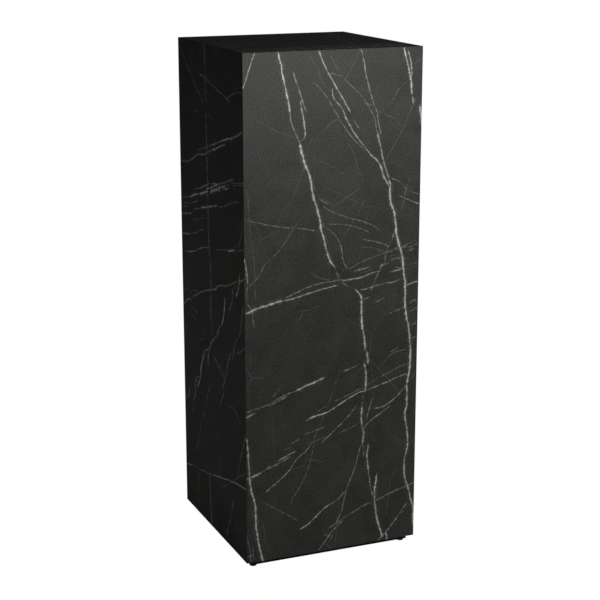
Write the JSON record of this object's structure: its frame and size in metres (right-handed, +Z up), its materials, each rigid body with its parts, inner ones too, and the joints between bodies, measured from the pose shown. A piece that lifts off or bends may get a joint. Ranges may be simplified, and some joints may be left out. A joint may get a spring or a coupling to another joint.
{
  "type": "display plinth",
  "caption": "Tall square museum plinth: mitred stone-pattern laminated boards on a batten frame, recessed black base board and screw-adjusted levelling feet.",
  "frame": {"origin": "on the floor at the centre of the base, under the soles of the feet", "axes": "+Z up to the display top, -Y towards the front face, +X to the front's right"},
  "size_m": [0.4, 0.4, 1.105],
  "materials": {
    "stone_laminate": "matt stone-pattern laminate, near black with warm white veins",
    "fibreboard": "raw fibreboard",
    "pine": "planed softwood",
    "plywood": "sanded plywood",
    "black_board": "fibreboard painted matt black",
    "beech": "smooth beech",
    "zinc_steel": "zinc plated",
    "grey_nylon": "moulded grey nylon",
    "stud_steel": "zinc-plated thread"
  },
  "bodies": {
    "column": {"front_laminate": "stone_laminate", "back_laminate": "stone_laminate", "left_laminate": "stone_laminate", "right_laminate": "stone_laminate", "top_laminate": "stone_laminate", "front_board": "fibreboard", "back_board": "fibreboard", "left_board": "fibreboard", "right_board": "fibreboard", "top_board": "fibreboard", "post_front_left": "pine", "post_front_right": "pine", "post_back_left": "pine", "post_back_right": "pine", "bottom_rail_front": "pine", "bottom_rail_back": "pine", "bottom_rail_left": "pine", "bottom_rail_right": "pine", "top_rail_front": "pine", "top_rail_back": "pine", "top_rail_left": "pine", "top_rail_right": "pine", "mid_brace": "plywood", "sub_top": "plywood", "base_board": "black_board", "rail_dowels": "beech", "base_screws": "zinc_steel", "top_screws": "zinc_steel", "foot_inserts": "zinc_steel"},
    "foot_front_left_pad": {"foot_pad_front_left": "grey_nylon"},
    "foot_front_right_pad": {"foot_pad_front_right": "grey_nylon"},
    "foot_back_left_pad": {"foot_pad_back_left": "grey_nylon"},
    "foot_back_right_pad": {"foot_pad_back_right": "grey_nylon"},
    "foot_front_left_stud": {"foot_stud_front_left": "stud_steel"},
    "foot_front_right_stud": {"foot_stud_front_right": "stud_steel"},
    "foot_back_left_stud": {"foot_stud_back_left": "stud_steel"},
    "foot_back_right_stud": {"foot_stud_back_right": "stud_steel"}
  },
  "joints": [
    {"name": "foot_front_left_height", "type": "slide", "parent": "column", "child": "foot_front_left_pad", "axis": [0, 0, -1], "range_m": [0, 0.01]},
    {"name": "foot_front_left_thread", "type": "hinge", "parent": "foot_front_left_pad", "child": "foot_front_left_stud", "pos_m": [-0.1774, -0.1774, 0], "axis": [0, 0, -1], "range_deg": [0, 3600]},
    {"name": "foot_front_right_height", "type": "slide", "parent": "column", "child": "foot_front_right_pad", "axis": [0, 0, -1], "range_m": [0, 0.01]},
    {"name": "foot_front_right_thread", "type": "hinge", "parent": "foot_front_right_pad", "child": "foot_front_right_stud", "pos_m": [0.1774, -0.1774, 0], "axis": [0, 0, -1], "range_deg": [0, 3600]},
    {"name": "foot_back_left_height", "type": "slide", "parent": "column", "child": "foot_back_left_pad", "axis": [0, 0, -1], "range_m": [0, 0.01]},
    {"name": "foot_back_left_thread", "type": "hinge", "parent": "foot_back_left_pad", "child": "foot_back_left_stud", "pos_m": [-0.1774, 0.1774, 0], "axis": [0, 0, -1], "range_deg": [0, 3600]},
    {"name": "foot_back_right_height", "type": "slide", "parent": "column", "child": "foot_back_right_pad", "axis": [0, 0, -1], "range_m": [0, 0.01]},
    {"name": "foot_back_right_thread", "type": "hinge", "parent": "foot_back_right_pad", "child": "foot_back_right_stud", "pos_m": [0.1774, 0.1774, 0], "axis": [0, 0, -1], "range_deg": [0, 3600]}
  ],
  "couplings": [
    {"joint": "foot_front_left_thread", "follows": "foot_front_left_height", "rad_per_m": 6283.2},
    {"joint": "foot_front_right_thread", "follows": "foot_front_right_height", "rad_per_m": 6283.2},
    {"joint": "foot_back_left_thread", "follows": "foot_back_left_height", "rad_per_m": 6283.2},
    {"joint": "foot_back_right_thread", "follows": "foot_back_right_height", "rad_per_m": 6283.2}
  ]
}
